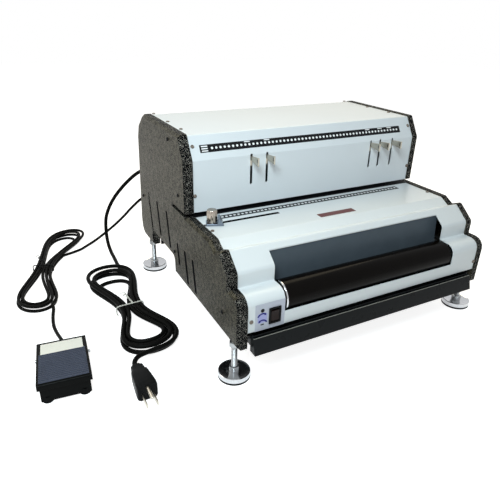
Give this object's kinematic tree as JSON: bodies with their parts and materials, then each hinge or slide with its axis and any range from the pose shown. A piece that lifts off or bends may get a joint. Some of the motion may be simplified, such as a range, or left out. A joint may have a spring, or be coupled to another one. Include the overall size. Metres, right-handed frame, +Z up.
{
  "type": "electric coil binding machine",
  "caption": "Tabletop electric punch and coil inserter with chip drawer, levelling feet, foot pedal and mains lead, for binding sheets with a plastic coil.",
  "frame": {"origin": "on the floor under the middle of the machine and its foot pedal, without the cords and glands", "axes": "+X to the right along the row of punches, +Y towards the rear panel, +Z up"},
  "size_m": [0.6547, 0.5745, 0.2735],
  "materials": {
    "hammertone": "dark grey-brown hammertone enamel",
    "shell_paint": "satin light grey powder coat",
    "deck_paint": "satin bluish white powder coat",
    "black_steel": "satin black enamel",
    "plated_steel": "zinc plated sheet and bar",
    "tool_steel": "ground tool steel",
    "chrome": "polished chrome",
    "nickel": "dull nickel plate",
    "roller_plastic": "glossy black-brown sleeve",
    "apron_paint": "dark slate sheet",
    "black_plastic": "moulded black",
    "rubber": "black rubber",
    "pedal_paint": "blue-black enamel",
    "motor_paint": "dark grey enamel",
    "cord_jacket": "black flexible cord jacket"
  },
  "bodies": {
    "machine": {"side_plate_left": "hammertone", "side_plate_right": "hammertone", "upper_cover": "shell_paint", "lower_cover": "deck_paint", "base_plate": "plated_steel", "rear_panel": "black_steel", "rear_crossbar": "black_steel", "die_block": "black_steel", "punch_guide": "tool_steel", "paper_stop": "plated_steel", "carriage_guide_left": "plated_steel", "carriage_guide_right": "plated_steel", "bearing_left": "plated_steel", "bearing_right": "plated_steel", "gear_motor": "motor_paint", "drive_belt": "rubber", "inserter_frame": "plated_steel", "inserter_apron": "apron_paint", "inserter_motor": "motor_paint", "inserter_belt": "rubber", "switch_body": "black_plastic", "drawer_rail_left": "plated_steel", "drawer_rail_right": "plated_steel", "pedal_base": "pedal_paint", "pedal_pin": "plated_steel", "plug_gland": "black_plastic", "pedal_gland": "black_plastic", "plug_cord": "cord_jacket", "plug_hank": "cord_jacket", "plug_tail": "cord_jacket", "pedal_cord": "cord_jacket", "pedal_hank": "cord_jacket", "pedal_tail": "cord_jacket", "plug": "black_plastic"},
    "camshaft": {"camshaft": "tool_steel"},
    "punch_bar": {"punch_bar": "tool_steel"},
    "drive_pulley": {"drive_pulley": "plated_steel"},
    "inserter_roller": {"inserter_roller": "roller_plastic"},
    "inserter_motor_pulley": {"inserter_motor_pulley": "plated_steel"},
    "switch_rocker": {"switch_rocker": "black_plastic"},
    "chip_drawer": {"chip_drawer": "black_steel"},
    "edge_guide": {"edge_guide": "nickel"},
    "edge_guide_knob": {"edge_guide_knob": "chrome"},
    "pedal_treadle": {"pedal_treadle": "pedal_paint"},
    "release_tab_1": {"release_tab_1": "nickel"},
    "release_tab_2": {"release_tab_2": "nickel"},
    "release_tab_3": {"release_tab_3": "nickel"},
    "release_tab_4": {"release_tab_4": "nickel"},
    "release_tab_5": {"release_tab_5": "nickel"},
    "foot_front_left": {"foot_front_left": "chrome", "foot_pad_front_left": "rubber"},
    "foot_front_right": {"foot_front_right": "chrome", "foot_pad_front_right": "rubber"},
    "foot_rear_left": {"foot_rear_left": "chrome", "foot_pad_rear_left": "rubber"},
    "foot_rear_right": {"foot_rear_right": "chrome", "foot_pad_rear_right": "rubber"}
  },
  "joints": [
    {"name": "camshaft_turn", "type": "hinge", "parent": "machine", "child": "camshaft", "pos_m": [0.10315, 0.022, 0.2428], "axis": [1, 0, 0], "range_deg": [0, 180]},
    {"name": "punch_bar_stroke", "type": "slide", "parent": "machine", "child": "punch_bar", "axis": [0, 0, -1], "range_m": [0, 0.01]},
    {"name": "drive_pulley_turn", "type": "hinge", "parent": "machine", "child": "drive_pulley", "pos_m": [-0.07685, 0.132, 0.1239], "axis": [1, 0, 0], "range_deg": [0, 221]},
    {"name": "inserter_roller_turn", "type": "hinge", "parent": "machine", "child": "inserter_roller", "pos_m": [0.10315, -0.167, 0.1025], "axis": [1, 0, 0], "continuous": true},
    {"name": "inserter_motor_turn", "type": "hinge", "parent": "machine", "child": "inserter_motor_pulley", "pos_m": [0.25615, -0.096, 0.1096], "axis": [1, 0, 0], "continuous": true},
    {"name": "switch_rocker_tilt", "type": "hinge", "parent": "machine", "child": "switch_rocker", "pos_m": [-0.0543, -0.1852, 0.0919], "axis": [1, 0, 0], "range_deg": [-8, 8]},
    {"name": "chip_drawer_slide", "type": "slide", "parent": "machine", "child": "chip_drawer", "axis": [0, -1, 0], "range_m": [0, 0.18]},
    {"name": "edge_guide_slide", "type": "slide", "parent": "machine", "child": "edge_guide", "axis": [1, 0, 0], "range_m": [0, 0.1]},
    {"name": "edge_guide_knob_turn", "type": "hinge", "parent": "edge_guide", "child": "edge_guide_knob", "pos_m": [-0.07885, -0.058, 0.18], "axis": [0, 0, 1], "range_deg": [0, 360]},
    {"name": "pedal_treadle_press", "type": "hinge", "parent": "machine", "child": "pedal_treadle", "pos_m": [-0.28734, -0.0496, 0.011], "axis": [0.9954, -0.0958, 0], "range_deg": [0, 5], "stiffness_Nm_per_rad": 2, "springref_deg": -17.19},
    {"name": "release_tab_1_slide", "type": "slide", "parent": "machine", "child": "release_tab_1", "axis": [0, 0, -1], "range_m": [0, 0.03]},
    {"name": "release_tab_2_slide", "type": "slide", "parent": "machine", "child": "release_tab_2", "axis": [0, 0, -1], "range_m": [0, 0.03]},
    {"name": "release_tab_3_slide", "type": "slide", "parent": "machine", "child": "release_tab_3", "axis": [0, 0, -1], "range_m": [0, 0.03]},
    {"name": "release_tab_4_slide", "type": "slide", "parent": "machine", "child": "release_tab_4", "axis": [0, 0, -1], "range_m": [0, 0.03]},
    {"name": "release_tab_5_slide", "type": "slide", "parent": "machine", "child": "release_tab_5", "axis": [0, 0, -1], "range_m": [0, 0.03]},
    {"name": "foot_front_left_turn", "type": "hinge", "parent": "machine", "child": "foot_front_left", "pos_m": [-0.09785, -0.168, 0], "axis": [0, 0, 1], "continuous": true},
    {"name": "foot_front_right_turn", "type": "hinge", "parent": "machine", "child": "foot_front_right", "pos_m": [0.30415, -0.168, 0], "axis": [0, 0, 1], "continuous": true},
    {"name": "foot_rear_left_turn", "type": "hinge", "parent": "machine", "child": "foot_rear_left", "pos_m": [-0.09785, 0.159, 0], "axis": [0, 0, 1], "continuous": true},
    {"name": "foot_rear_right_turn", "type": "hinge", "parent": "machine", "child": "foot_rear_right", "pos_m": [0.30415, 0.159, 0], "axis": [0, 0, 1], "continuous": true}
  ],
  "couplings": [
    {"joint": "camshaft_turn", "follows": "punch_bar_stroke", "rad_per_m": 314.16},
    {"joint": "drive_pulley_turn", "follows": "punch_bar_stroke", "rad_per_m": 383.97},
    {"joint": "inserter_motor_turn", "follows": "inserter_roller_turn", "ratio": 1.375}
  ]
}
